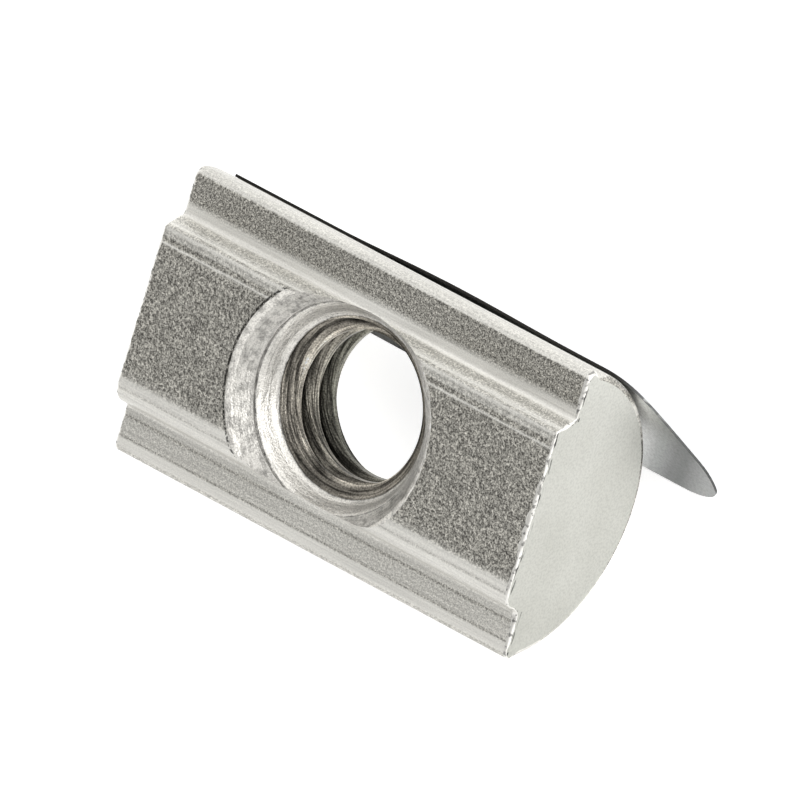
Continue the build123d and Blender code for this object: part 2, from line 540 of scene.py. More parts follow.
line_depth = add_node(
    tree, "ShaderNodeMapRange", {"To Min": 0.05, "To Max": 0.55}, {"Value": rubbed},
).outputs[0]
dents = add_node(
    tree, "ShaderNodeMath", {"operation": "MULTIPLY_ADD", 1: 1.5}, {0: dimples, 2: pits},
).outputs[0]
relief = add_node(
    tree, "ShaderNodeMath", {"operation": "MULTIPLY"}, {0: dents, 1: pit_depth},
).outputs[0]
relief = add_node(
    tree, "ShaderNodeMath", {"operation": "MULTIPLY_ADD"}, {0: drawn, 1: line_depth, 2: relief},
).outputs[0]
relief = add_node(
    tree, "ShaderNodeMath", {"operation": "MULTIPLY_ADD", 1: 0.5}, {0: rubbed, 2: relief},
).outputs[0]
bump = add_node(
    tree, "ShaderNodeBump", {"Strength": 1.0, "Distance": PLATE_RELIEF_MM * MM}, {"Height": relief},
)
plate = add_node(
    tree, "ShaderNodeMix", {"data_type": "RGBA", "A": colour("#c6c3ba"), "B": colour("#f3f1ea")},
    {"Factor": rubbed},
)
pitted = add_node(
    tree, "ShaderNodeMapRange", {"From Min": 0.36, "From Max": 0.6, "To Min": 0.3, "To Max": 1.2},
    {"Value": pits},
).outputs[0]
hollowed = add_node(
    tree, "ShaderNodeMapRange", {"From Min": 0.34, "From Max": 0.62, "To Min": 0.62, "To Max": 1.2},
    {"Value": dimples},
).outputs[0]
pitted = add_node(
    tree, "ShaderNodeMath", {"operation": "MULTIPLY"}, {0: pitted, 1: hollowed},
).outputs[0]
pitted = add_node(
    tree, "ShaderNodeMix", {"data_type": "FLOAT", "B": 1.0}, {"Factor": rubbed, "A": pitted},
).outputs["Result"]
streaked = add_node(
    tree, "ShaderNodeMapRange", {"From Min": 0.34, "From Max": 0.6, "To Min": 0.84, "To Max": 1.0},
    {"Value": drawn},
).outputs[0]
speck = add_node(
    tree, "ShaderNodeMapRange", {"From Min": 0.3, "From Max": 0.65, "To Min": 0.86, "To Max": 1.04},
    {"Value": pits},
).outputs[0]
# Painted shadow: a broken dark line follows the hole's rim on the side towards -X
flat_place = add_node(
    tree, "ShaderNodeVectorMath", {"operation": "MULTIPLY", 1: (1, 1, 0)}, {0: place},
).outputs[0]
rim_distance = add_node(
    tree, "ShaderNodeVectorMath", {"operation": "LENGTH"}, {0: flat_place},
).outputs["Value"]
off_rim = add_node(
    tree, "ShaderNodeMath", {"operation": "SUBTRACT", 1: RIM_RADIUS * MM}, {0: rim_distance},
).outputs[0]
off_rim = add_node(tree, "ShaderNodeMath", {"operation": "ABSOLUTE"}, {0: off_rim}).outputs[0]
crevice = add_node(
    tree, "ShaderNodeMapRange",
    {"From Min": 0.03 * MM, "From Max": 0.09 * MM, "To Min": 0.9, "To Max": 0.0},
    {"Value": off_rim},
).outputs[0]
this_side = add_node(
    tree, "ShaderNodeMapRange", {"From Min": 0.5 * MM, "From Max": -2.5 * MM},
    {"Value": across.outputs["X"]},
).outputs[0]
on_face = add_node(
    tree, "ShaderNodeMath", {"operation": "GREATER_THAN", 1: FACE_ONLY_ABOVE * MM},
    {0: across.outputs["Z"]},
).outputs[0]
broken = add_node(
    tree, "ShaderNodeMapRange", {"From Min": 0.42, "From Max": 0.5}, {"Value": dimples},
).outputs[0]
for limit in (this_side, on_face, broken):
    crevice = add_node(
        tree, "ShaderNodeMath", {"operation": "MULTIPLY"}, {0: crevice, 1: limit},
    ).outputs[0]
left_light = add_node(
    tree, "ShaderNodeMath", {"operation": "SUBTRACT", 0: 1.0}, {1: crevice},
).outputs[0]
shade = pitted
for layer in (streaked, speck, left_light):
    shade = add_node(
        tree, "ShaderNodeMath", {"operation": "MULTIPLY"}, {0: shade, 1: layer},
    ).outputs[0]
tone = add_node(
    tree, "ShaderNodeMix", {"data_type": "RGBA", "blend_type": "MULTIPLY", "Factor": 1.0},
    {"A": plate.outputs["Result"], "B": shade},
)
satin = add_node(
    tree, "ShaderNodeMapRange", {"From Min": 0.3, "From Max": 0.7, "To Min": 0.31, "To Max": 0.35},
    {"Value": patches},
).outputs[0]
gloss = add_node(
    tree, "ShaderNodeMath", {"operation": "MULTIPLY_ADD", 1: 0.14}, {0: rubbed, 2: satin},
).outputs[0]
whitened = add_node(
    tree, "ShaderNodeMapRange", {"To Min": 1.0, "To Max": 0.35}, {"Value": rubbed},
).outputs[0]
shader = add_node(
    tree, "ShaderNodeBsdfPrincipled", {},
    {
        "Base Color": tone.outputs["Result"], "Metallic": whitened, "Roughness": gloss,
        "Normal": bump.outputs[0],
    },
)
tree.links.new(shader.outputs[0], output.inputs[0])

# The sheared end: a torn, finely mottled face under the plate, pale and even,
# with black cracks just below the lip, and painted lighter towards +Y as light
MOTTLE_MM = 0.11
CLOUD_MM = 2.5
CRACK_MM = 0.12
CRACK_STRETCH = 0.18
CRACKS_FADE = (0.22, 0.34)
WALL_FROM_Y = 4.05
WALL_TO_Y = 4.5
PALER_TO_Y = 6.0
MOTTLE_RELIEF_MM = 0.012
sheared, tree, output, place = new_material("sheared_zinc_plated_end")
mottle = add_node(
    tree, "ShaderNodeTexNoise", {"Scale": per_metre(MOTTLE_MM), "Detail": 2.0}, {"Vector": place},
).outputs[0]
cloud = add_node(
    tree, "ShaderNodeTexNoise", {"Scale": per_metre(CLOUD_MM), "Detail": 2.0}, {"Vector": place},
).outputs[0]
bump = add_node(
    tree, "ShaderNodeBump", {"Strength": 0.5, "Distance": MOTTLE_RELIEF_MM * MM},
    {"Height": mottle},
)
where_on_end = add_node(tree, "ShaderNodeSeparateXYZ", {}, {0: place})
# Painted light: the end face is lighter towards +Y, mixed with a random cloud
sideways = add_node(
    tree, "ShaderNodeMapRange",
    {"From Min": -PALER_TO_Y * MM, "From Max": PALER_TO_Y * MM, "To Min": -0.45, "To Max": 0.55},
    {"Value": where_on_end.outputs["Y"]},
).outputs[0]
brighter = add_node(
    tree, "ShaderNodeMath", {"operation": "ADD", "use_clamp": True}, {0: cloud, 1: sideways},
).outputs[0]
pale = add_node(
    tree, "ShaderNodeMix", {"data_type": "RGBA", "A": colour("#bfbfb7"), "B": colour("#d2d2cb")},
    {"Factor": brighter},
)
fleck = add_node(
    tree, "ShaderNodeMapRange", {"From Min": 0.3, "From Max": 0.6, "To Min": 0.84, "To Max": 1.0},
    {"Value": mottle},
).outputs[0]
from_middle = add_node(
    tree, "ShaderNodeMath", {"operation": "ABSOLUTE"}, {0: where_on_end.outputs["Y"]},
).outputs[0]
edge_height = add_node(
    tree, "ShaderNodeMapRange",
    {
        "From Min": WALL_FROM_Y * MM, "From Max": WALL_TO_Y * MM, "To Min": FACE_Z * MM,
        "To Max": SHOULDER_Z * MM,
    },
    {"Value": from_middle},
).outputs[0]
below_edge = add_node(
    tree, "ShaderNodeMath", {"operation": "SUBTRACT"},
    {0: edge_height, 1: where_on_end.outputs["Z"]},
).outputs[0]
by_lip = add_node(
    tree, "ShaderNodeMapRange",
    {
        "From Min": CRACKS_FADE[0] * MM, "From Max": CRACKS_FADE[1] * MM, "To Min": 1.0,
        "To Max": 0.0,
    },
    {"Value": below_edge},
).outputs[0]
along_lip = add_node(
    tree, "ShaderNodeVectorMath", {"operation": "MULTIPLY", 1: (1, CRACK_STRETCH, 1)}, {0: place},
).outputs[0]
torn = add_node(
    tree, "ShaderNodeTexNoise", {"Scale": per_metre(CRACK_MM), "Detail": 1.0},
    {"Vector": along_lip},
).outputs[0]
cracked = add_node(
    tree, "ShaderNodeMapRange", {"From Min": 0.56, "From Max": 0.60}, {"Value": torn},
).outputs[0]
crack = add_node(
    tree, "ShaderNodeMath", {"operation": "MULTIPLY"}, {0: by_lip, 1: cracked},
).outputs[0]
left_light = add_node(
    tree, "ShaderNodeMapRange", {"To Min": 1.0, "To Max": 0.08}, {"Value": crack},
).outputs[0]
fleck = add_node(
    tree, "ShaderNodeMath", {"operation": "MULTIPLY"}, {0: fleck, 1: left_light},
).outputs[0]
tone = add_node(
    tree, "ShaderNodeMix", {"data_type": "RGBA", "blend_type": "MULTIPLY", "Factor": 1.0},
    {"A": pale.outputs["Result"], "B": fleck},
)
shader = add_node(
    tree, "ShaderNodeBsdfPrincipled", {"Metallic": 0.4, "Roughness": 0.5},
    {"Base Color": tone.outputs["Result"], "Normal": bump.outputs[0]},
)
tree.links.new(shader.outputs[0], output.inputs[0])

# The shears' lip: burnished bright, with small tears that stay dark
TEAR_MM = 0.22
TEAR_RELIEF_MM = 0.02
lip, tree, output, place = new_material("burnished_shear_lip")
tears = add_node(
    tree, "ShaderNodeTexNoise", {"Scale": per_metre(TEAR_MM), "Detail": 2.0}, {"Vector": place},
).outputs[0]
bump = add_node(
    tree, "ShaderNodeBump", {"Strength": 0.7, "Distance": TEAR_RELIEF_MM * MM}, {"Height": tears},
)
torn = add_node(
    tree, "ShaderNodeMapRange", {"From Min": 0.36, "From Max": 0.46, "To Min": 0.35, "To Max": 1.0},
    {"Value": tears},
).outputs[0]
tone = add_node(
    tree, "ShaderNodeMix",
    {"data_type": "RGBA", "blend_type": "MULTIPLY", "Factor": 1.0, "A": colour("#f6f4ee")},
    {"B": torn},
)
shader = add_node(
    tree, "ShaderNodeBsdfPrincipled", {"Metallic": 0.6, "Roughness": 0.38},
    {"Base Color": tone.outputs["Result"], "Normal": bump.outputs[0]},
)
tree.links.new(shader.outputs[0], output.inputs[0])

# Turned steel under zinc, in the countersink: fine rings from the tool, broken
# by chatter, a stipple from pickling and torn patches. The stipple is about twice
# as coarse as real, so that it shows. Painted shade darkens the outer cone, all
# but a strip at the rim, and lays dark lines where one cone meets the next. Two
# tones are set by place and stand in for reflections: the inner cones are darker
# towards -X, and all the cones are lighter towards +X and +Y.
STEP_RADIUS = 4.655
OUTER_CONE_FROM = (4.7, 4.75)
SHADED_FROM = (4.72, 4.82)
RIM_STRIP_FROM = (5.42, 5.48)
ENTRY_RADIUS = 4.06
DARKER_WAY = (-0.985, -0.174, 0)
LIGHTER_WAY = (0.707, 0.707, 0)
TOOL_RING_MM = 0.1
CHATTER_MARK_MM = 0.25
PICKLED_STIPPLE_MM = 0.075
TORN_PATCH_MM = 0.45
TURNED_RELIEF_MM = 0.02
turned, tree, output, place = new_material("turned_zinc_plated_countersink")
level = add_node(
    tree, "ShaderNodeVectorMath", {"operation": "MULTIPLY", 1: (0.1, 0.1, 1)}, {0: place},
).outputs[0]
tool_rings = add_node(
    tree, "ShaderNodeTexNoise",
    {"Scale": per_metre(TOOL_RING_MM), "Detail": 2.0, "Roughness": 0.65}, {"Vector": level},
).outputs[0]
chatters = add_node(
    tree, "ShaderNodeTexNoise",
    {"Scale": per_metre(CHATTER_MARK_MM), "Detail": 2.0, "Roughness": 0.65}, {"Vector": place},
).outputs[0]
stipple = add_node(
    tree, "ShaderNodeTexNoise", {"Scale": per_metre(PICKLED_STIPPLE_MM), "Detail": 2.0},
    {"Vector": place},
).outputs[0]
relief = add_node(
    tree, "ShaderNodeMath", {"operation": "MULTIPLY_ADD", 1: 1.2}, {0: chatters, 2: tool_rings},
).outputs[0]
relief = add_node(
    tree, "ShaderNodeMath", {"operation": "MULTIPLY_ADD", 1: 0.8}, {0: stipple, 2: relief},
).outputs[0]
bump = add_node(
    tree, "ShaderNodeBump", {"Strength": 0.9, "Distance": TURNED_RELIEF_MM * MM},
    {"Height": relief},
)
scored = add_node(
    tree, "ShaderNodeMapRange", {"From Min": 0.34, "From Max": 0.5, "To Min": 0.72, "To Max": 1.0},
    {"Value": tool_rings},
).outputs[0]
stippled = add_node(
    tree, "ShaderNodeMapRange",
    {"From Min": 0.32, "From Max": 0.55, "To Min": 0.72, "To Max": 1.05}, {"Value": stipple},
).outputs[0]
flat_place = add_node(
    tree, "ShaderNodeVectorMath", {"operation": "MULTIPLY", 1: (1, 1, 0)}, {0: place},
).outputs[0]
radius_here = add_node(
    tree, "ShaderNodeVectorMath", {"operation": "LENGTH"}, {0: flat_place},
).outputs["Value"]
ragged_radius = add_node(
    tree, "ShaderNodeMath", {"operation": "MULTIPLY_ADD", 1: 0.25 * MM},
    {0: chatters, 2: radius_here},
).outputs[0]
# Painted shade: the outer cone is darker, all but a strip at the rim
outer_cone = add_node(
    tree, "ShaderNodeMapRange",
    {
        "From Min": SHADED_FROM[0] * MM, "From Max": SHADED_FROM[1] * MM, "To Min": 1.0,
        "To Max": 0.72,
    },
    {"Value": ragged_radius},
).outputs[0]
rim_strip = add_node(
    tree, "ShaderNodeMapRange",
    {"From Min": RIM_STRIP_FROM[0] * MM, "From Max": RIM_STRIP_FROM[1] * MM},
    {"Value": ragged_radius},
).outputs[0]
burnished = add_node(
    tree, "ShaderNodeMath", {"operation": "MAXIMUM"}, {0: outer_cone, 1: rim_strip},
).outputs[0]
tearing = add_node(
    tree, "ShaderNodeTexNoise",
    {"Scale": per_metre(TORN_PATCH_MM), "Detail": 4.0, "Roughness": 0.75}, {"Vector": place},
).outputs[0]
torn = add_node(
    tree, "ShaderNodeMapRange", {"From Min": 0.46, "From Max": 0.62, "To Min": 1.0, "To Max": 0.55},
    {"Value": tearing},
).outputs[0]
on_outer = add_node(
    tree, "ShaderNodeMapRange",
    {"From Min": OUTER_CONE_FROM[0] * MM, "From Max": OUTER_CONE_FROM[1] * MM},
    {"Value": radius_here},
).outputs[0]
torn = add_node(
    tree, "ShaderNodeMix", {"data_type": "FLOAT", "A": 1.0}, {"Factor": on_outer, "B": torn},
).outputs["Result"]
darker_way = add_node(
    tree, "ShaderNodeVectorMath", {"operation": "DOT_PRODUCT", 1: DARKER_WAY}, {0: place},
).outputs["Value"]
darkened = add_node(
    tree, "ShaderNodeMapRange",
    {"From Min": 3.7 * MM, "From Max": 4.15 * MM, "To Min": 1.0, "To Max": 0.82},
    {"Value": darker_way},
).outputs[0]
darkened = add_node(
    tree, "ShaderNodeMix", {"data_type": "FLOAT", "B": 1.0}, {"Factor": on_outer, "A": darkened},
).outputs["Result"]
lighter_way = add_node(
    tree, "ShaderNodeVectorMath", {"operation": "DOT_PRODUCT", 1: LIGHTER_WAY}, {0: place},
).outputs["Value"]
lightened = add_node(
    tree, "ShaderNodeMapRange",
    {"From Min": 2.2 * MM, "From Max": 3.8 * MM, "To Min": 1.0, "To Max": 1.35},
    {"Value": lighter_way},
).outputs[0]
# Painted shade: a dark line in the step between the outer and inner cones
off_step = add_node(
    tree, "ShaderNodeMath", {"operation": "SUBTRACT", 1: STEP_RADIUS * MM}, {0: radius_here},
).outputs[0]
off_step = add_node(tree, "ShaderNodeMath", {"operation": "ABSOLUTE"}, {0: off_step}).outputs[0]
off_step = add_node(
    tree, "ShaderNodeMath", {"operation": "MULTIPLY_ADD", 1: 0.16 * MM}, {0: tearing, 2: off_step},
).outputs[0]
step_line = add_node(
    tree, "ShaderNodeMapRange",
    {"From Min": 0.07 * MM, "From Max": 0.12 * MM, "To Min": 0.25, "To Max": 1.0},
    {"Value": off_step},
).outputs[0]
# Painted shade: a dark line where the lead-in meets the thread
off_entry = add_node(
    tree, "ShaderNodeMath", {"operation": "MULTIPLY_ADD", 1: 0.12 * MM},
    {0: chatters, 2: radius_here},
).outputs[0]
entry_line = add_node(
    tree, "ShaderNodeMapRange",
    {
        "From Min": ENTRY_RADIUS * MM, "From Max": (ENTRY_RADIUS + 0.06) * MM, "To Min": 0.22,
        "To Max": 1.0,
    },
    {"Value": off_entry},
).outputs[0]
shade = scored
for layer in (stippled, burnished, torn, darkened, lightened, step_line, entry_line):
    shade = add_node(
        tree, "ShaderNodeMath", {"operation": "MULTIPLY"}, {0: shade, 1: layer},
    ).outputs[0]
tone = add_node(
    tree, "ShaderNodeMix",
    {"data_type": "RGBA", "blend_type": "MULTIPLY", "Factor": 1.0, "A": colour("#f4f1ea")},
    {"B": shade},
)
shader = add_node(
    tree, "ShaderNodeBsdfPrincipled", {"Metallic": 0.7, "Roughness": 0.38},
    {"Base Color": tone.outputs["Result"], "Normal": bump.outputs[0]},
)
tree.links.new(shader.outputs[0], output.inputs[0])

# Tapped steel under thin zinc, in the thread: dull and slightly brown, with
# streaks that the tap left along its turns and a fine grain, both about twice
# as coarse as real. It is darker towards its root and in its depth, partly from
# thinner plate and partly as painted shade, and painted lighter on its crests as
# highlight. The darker near side is a tone set by place, which stands in for
# shade.
DULL_FROM_Z = -0.2
DULL_TO_Z = -2.6
ROOT_SHADE_FROM = 3.4
ROOT_SHADE_TO = 3.8
ENTRY_FROM_Z = 0.02
ENTRY_TO_Z = 0.12
DARKER_FROM_Y = -2.2
DARKER_TO_Y = -4.0
STREAK_MM = 0.1
STAIN_MM = 1.6
TAPPED_STIPPLE_MM = 0.08
TAPPED_RELIEF_MM = 0.04
tapped, tree, output, place = new_material("tapped_thread_thin_zinc")
level = add_node(
    tree, "ShaderNodeVectorMath", {"operation": "MULTIPLY", 1: (0.03, 0.03, 1)}, {0: place},
).outputs[0]
streaks = add_node(
    tree, "ShaderNodeTexNoise", {"Scale": per_metre(STREAK_MM), "Detail": 2.0, "Roughness": 0.65},
    {"Vector": level},
).outputs[0]
stain = add_node(
    tree, "ShaderNodeTexNoise", {"Scale": per_metre(STAIN_MM), "Detail": 2.0}, {"Vector": place},
).outputs[0]
stipple = add_node(
    tree, "ShaderNodeTexNoise", {"Scale": per_metre(TAPPED_STIPPLE_MM), "Detail": 2.0},
    {"Vector": place},
).outputs[0]
relief = add_node(
    tree, "ShaderNodeMath", {"operation": "MULTIPLY_ADD", 1: 0.4}, {0: stipple, 2: streaks},
).outputs[0]
bump = add_node(
    tree, "ShaderNodeBump", {"Strength": 1.0, "Distance": TAPPED_RELIEF_MM * MM},
    {"Height": relief},
)
spot = add_node(tree, "ShaderNodeSeparateXYZ", {}, {0: place})
# Darker in the depth: partly thinner plate, partly painted shade
deep = add_node(
    tree, "ShaderNodeMapRange", {"From Min": DULL_FROM_Z * MM, "From Max": DULL_TO_Z * MM},
    {"Value": spot.outputs["Z"]},
).outputs[0]
dull = add_node(
    tree, "ShaderNodeMix", {"data_type": "RGBA", "A": colour("#aba59a"), "B": colour("#6f6e65")},
    {"Factor": deep},
)
streaky = add_node(
    tree, "ShaderNodeMapRange", {"From Min": 0.38, "From Max": 0.64, "To Min": 0.2, "To Max": 1.5},
    {"Value": streaks},
).outputs[0]
flat_place = add_node(
    tree, "ShaderNodeVectorMath", {"operation": "MULTIPLY", 1: (1, 1, 0)}, {0: place},
).outputs[0]
radius_here = add_node(
    tree, "ShaderNodeVectorMath", {"operation": "LENGTH"}, {0: flat_place},
).outputs["Value"]
# Darker at the root, partly thinner plate and partly painted shade, with a painted highlight on the
# crests
rooted = add_node(
    tree, "ShaderNodeMapRange",
    {
        "From Min": ROOT_SHADE_FROM * MM, "From Max": ROOT_SHADE_TO * MM, "To Min": 1.9,
        "To Max": 0.1,
    },
    {"Value": radius_here},
).outputs[0]
on_entry = add_node(
    tree, "ShaderNodeMapRange", {"From Min": ENTRY_FROM_Z * MM, "From Max": ENTRY_TO_Z * MM},
    {"Value": spot.outputs["Z"]},
).outputs[0]
rooted = add_node(
    tree, "ShaderNodeMix", {"data_type": "FLOAT", "B": 0.85}, {"Factor": on_entry, "A": rooted},
).outputs["Result"]
grainy = add_node(
    tree, "ShaderNodeMapRange", {"From Min": 0.34, "From Max": 0.6, "To Min": 0.55, "To Max": 1.25},
    {"Value": stipple},
).outputs[0]
darker_side = add_node(
    tree, "ShaderNodeMapRange",
    {"From Min": DARKER_TO_Y * MM, "From Max": DARKER_FROM_Y * MM, "To Min": 0.5, "To Max": 1.0},
    {"Value": spot.outputs["Y"]},
).outputs[0]
stained = add_node(
    tree, "ShaderNodeMapRange", {"From Min": 0.3, "From Max": 0.6, "To Min": 0.6, "To Max": 1.1},
    {"Value": stain},
).outputs[0]
shade = streaky
for layer in (rooted, grainy, darker_side, stained):
    shade = add_node(
        tree, "ShaderNodeMath", {"operation": "MULTIPLY"}, {0: shade, 1: layer},
    ).outputs[0]
tone = add_node(
    tree, "ShaderNodeMix", {"data_type": "RGBA", "blend_type": "MULTIPLY", "Factor": 1.0},
    {"A": dull.outputs["Result"], "B": shade},
)
shader = add_node(
    tree, "ShaderNodeBsdfPrincipled", {"Metallic": 1.0, "Roughness": 0.33},
    {"Base Color": tone.outputs["Result"], "Normal": bump.outputs[0]},
)
tree.links.new(shader.outputs[0], output.inputs[0])

# Each face takes its finish from where it is and which way it points
PLATED, SHEARED, LIP, TURNED, TAPPED = range(5)
LIP_ZONE = 0.4
LIP_FROM_Z = 0.4
THREAD_FROM_Z = -3.4
THREAD_TO_Z = 0.4
HOLE_REACH = 6
BORE_REACH = 4.3
SQUARE_ON = 0.9999
SHARP_ANGLE = radians(32)
INWARD = 0.25
LIP_TILT = 0.02
for material in (zinc, sheared, lip, turned, tapped):
    nut.data.materials.append(material)
nut.data.set_sharp_from_angle(angle=SHARP_ANGLE)
for face in nut.data.polygons:
    centre = face.center / MM
    normal = face.normal
    radius = hypot(centre.x, centre.y)
    faces_axis = normal.x * centre.x + normal.y * centre.y < -INWARD * radius
    by_end = not BAR_FROM + LIP_ZONE <= centre.x <= BAR_TO - LIP_ZONE
    end_face = by_end and abs(normal.x) > SQUARE_ON
    face.use_smooth = abs(normal.z) < SQUARE_ON and not end_face
    face.material_index = PLATED
    if end_face:
        face.material_index = SHEARED
    elif by_end and centre.z > LIP_FROM_Z and abs(normal.x) > LIP_TILT:
        face.material_index = LIP
    elif radius < HOLE_REACH and (faces_axis or radius < BORE_REACH):
        threaded = radius < ROOT_THREAD_RADIUS + 0.001 and THREAD_FROM_Z < centre.z < THREAD_TO_Z
        face.material_index = TAPPED if threaded else TURNED
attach(nut, "root")
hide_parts("nut_body")

# ---------------------------------------------------------------------------
# Stakes: two pegs of the bar's own steel that stand out of the back through
# the leaf's holes, hammered over into low heads that hold the leaf's tail.
STAKE_RADIUS = 0.6
STAKE_ANGLE = radians(50)
STAKE_FIRST_X = -9.0
STAKE_PITCH = 2.6
STAKES = 2
LEAF_LIFT = 0.14
STAKE_SUNK = 0.3
HEAD_PROFILE = (
    (0, LEAF_LIFT + 0.2),
    (0.35, LEAF_LIFT + 0.195),
    (0.62, LEAF_LIFT + 0.175),
    (0.82, LEAF_LIFT + 0.13),
    (0.93, LEAF_LIFT + 0.06),
    (0.95, LEAF_LIFT + 0.02),
    (0.91, LEAF_LIFT),
    (STAKE_RADIUS, LEAF_LIFT),
    (STAKE_RADIUS, -STAKE_SUNK),
    (0, -STAKE_SUNK),
)
STAKE_SEGMENTS = 40
OUT_OF_ROUND = 0.04
STAKE_SHARP_ANGLE = radians(40)
stake_out = Vector((0, cos(STAKE_ANGLE), -sin(STAKE_ANGLE)))
stake_along = Vector((1, 0, 0))
stake_side = stake_out.cross(stake_along)
stake_foot = Vector((STAKE_FIRST_X, 0, BACK_CENTRE_Z)) + stake_out * BACK_RADIUS


def stake_point(angle, radius, rise):
    """A point of the first stake, whose head was hammered a little out of round."""
    flattened = OUT_OF_ROUND * max(0, sin(2 * angle + 0.6)) if radius > STAKE_RADIUS else 0
    reach = radius * (1 - flattened)
    place = stake_foot + stake_out * rise + stake_along * reach * cos(angle)
    return (place + stake_side * reach * sin(angle)) * MM


stake = turned_shape(HEAD_PROFILE, STAKE_SEGMENTS, stake_point)
for face in stake.faces:
    face.smooth = True
stakes = new_piece("peened_stakes", stake)

# Peened steel: hammered heads, burnished and lightly dimpled
BLOW_MM = 0.4
BLOW_RELIEF_MM = 0.03
peened, tree, output, place = new_material("peened_zinc_plated_steel")
blows = add_node(
    tree, "ShaderNodeTexNoise", {"Scale": per_metre(BLOW_MM), "Detail": 2.0}, {"Vector": place},
).outputs[0]
bump = add_node(
    tree, "ShaderNodeBump", {"Strength": 0.8, "Distance": BLOW_RELIEF_MM * MM}, {"Height": blows},
)
worn = add_node(
    tree, "ShaderNodeMapRange", {"From Min": 0.3, "From Max": 0.6, "To Min": 0.7, "To Max": 1.0},
    {"Value": blows},
).outputs[0]
tone = add_node(
    tree, "ShaderNodeMix",
    {"data_type": "RGBA", "blend_type": "MULTIPLY", "Factor": 1.0, "A": colour("#cfcdc6")},
    {"B": worn},
)
shader = add_node(
    tree, "ShaderNodeBsdfPrincipled", {"Metallic": 1.0, "Roughness": 0.34},
    {"Base Color": tone.outputs["Result"], "Normal": bump.outputs[0]},
)
tree.links.new(shader.outputs[0], output.inputs[0])

row_tree, given, result = node_tree(
    "row_of_stakes",
    (("Count", "NodeSocketInt"), ("Spacing", "NodeSocketVector"), ("Finish", "NodeSocketMaterial")),
)
row = add_node(
    row_tree, "GeometryNodeMeshLine", {"mode": "OFFSET"},
    {"Count": given.outputs["Count"], "Offset": given.outputs["Spacing"]},
)
repeats = add_node(
    row_tree, "GeometryNodeInstanceOnPoints", {},
    {"Points": row.outputs[0], "Instance": given.outputs["Geometry"]},
)
real = add_node(row_tree, "GeometryNodeRealizeInstances", {}, {0: repeats.outputs[0]})
dressed = add_node(
    row_tree, "GeometryNodeSetMaterial", {},
    {0: real.outputs[0], "Material": given.outputs["Finish"]},
)
row_tree.links.new(dressed.outputs[0], result.inputs[0])
finished_by(
    stakes, row_tree, {"Count": STAKES, "Spacing": (STAKE_PITCH * MM, 0, 0), "Finish": peened},
)
stakes.data.set_sharp_from_angle(angle=STAKE_SHARP_ANGLE)
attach(stakes, "root")

# ---------------------------------------------------------------------------
# Leaf spring: a strip of hardened spring steel, rolled, slit and pressed to
# shape. Its tail is held by the stakes, and its nose stands off the bar. The
# CAD solid keeps its shape and only takes a finish.

# Rolled spring steel: a fine grain along the strip and a neutral grey, with dark
# slit edges, partly dark steel and partly painted shade of the gap by the bar,
# less dark at the nose. The inner face has slanting tones set by place, light by
# the bar and dark further out. They stand in for the reflection of a bright wall,
# and don't shift as one would.
LEAF_FACES = (0, 0.7071, -0.7071)
EDGE_BELOW = 0.7
ROLLED_LINE_MM = 0.12
ROLLED_STRETCH = 0.04
SPECK_MM = 0.12
ROLLED_RELIEF_MM = 0.008
THINNER_FROM_X = 10.6
THINNER_TO_X = 12.0
TONE_SLANT = (1, -0.354, -0.354)
TONES_FROM = 7.75
TONES_TO = 15.75
INNER_FACE_TONES = (
    (0.25, "#a8aaaa"), (0.37, "#e9eae9"), (0.5, "#e6e7e6"),
    (0.625, "#a9abaa"), (0.75, "#7a7c7b"), (0.83, "#6f7170"),
)
leaf_metal, tree, output, place = new_material("rolled_spring_steel_strip")
along = add_node(
    tree, "ShaderNodeVectorMath", {"operation": "MULTIPLY", 1: (ROLLED_STRETCH, 1, 1)}, {0: place},
).outputs[0]
rolled = add_node(
    tree, "ShaderNodeTexNoise", {"Scale": per_metre(ROLLED_LINE_MM), "Detail": 2.0},
    {"Vector": along},
).outputs[0]
grain = add_node(
    tree, "ShaderNodeTexNoise", {"Scale": per_metre(SPECK_MM), "Detail": 1.0}, {"Vector": place},
).outputs[0]
relief = add_node(
    tree, "ShaderNodeMath", {"operation": "MULTIPLY_ADD", 1: 0.6}, {0: grain, 2: rolled},
).outputs[0]
bump = add_node(
    tree, "ShaderNodeBump", {"Strength": 0.35, "Distance": ROLLED_RELIEF_MM * MM},
    {"Height": relief},
)
lengthwise = add_node(tree, "ShaderNodeSeparateXYZ", {}, {0: place}).outputs["X"]
slanting = add_node(
    tree, "ShaderNodeVectorMath", {"operation": "DOT_PRODUCT", 1: TONE_SLANT}, {0: place},
).outputs["Value"]
tone_place = add_node(
    tree, "ShaderNodeMapRange", {"From Min": TONES_FROM * MM, "From Max": TONES_TO * MM},
    {"Value": slanting},
).outputs[0]
facing = add_node(tree, "ShaderNodeNewGeometry").outputs["True Normal"]
outward_facing = add_node(
    tree, "ShaderNodeVectorMath", {"operation": "DOT_PRODUCT", 1: LEAF_FACES}, {0: facing},
).outputs["Value"]
inner_face = add_node(
    tree, "ShaderNodeMath", {"operation": "LESS_THAN", 1: 0.0}, {0: outward_facing},
).outputs[0]
tone_place = add_node(
    tree, "ShaderNodeMath", {"operation": "MULTIPLY"}, {0: tone_place, 1: inner_face},
).outputs[0]
inner_tones = add_node(tree, "ShaderNodeValToRGB", {}, {0: tone_place})
inner_tones.color_ramp.elements[0].color = colour("#8b8d8e")
inner_tones.color_ramp.elements[1].color = colour("#a0a1a0")
for where, code in INNER_FACE_TONES:
    inner_tones.color_ramp.elements.new(where).color = colour(code)
speckled = add_node(
    tree, "ShaderNodeMapRange", {"From Min": 0.3, "From Max": 0.65, "To Min": 0.8, "To Max": 1.05},
    {"Value": grain},
).outputs[0]
tone = add_node(
    tree, "ShaderNodeMix", {"data_type": "RGBA", "blend_type": "MULTIPLY", "Factor": 1.0},
    {"A": inner_tones.outputs[0], "B": speckled},
)
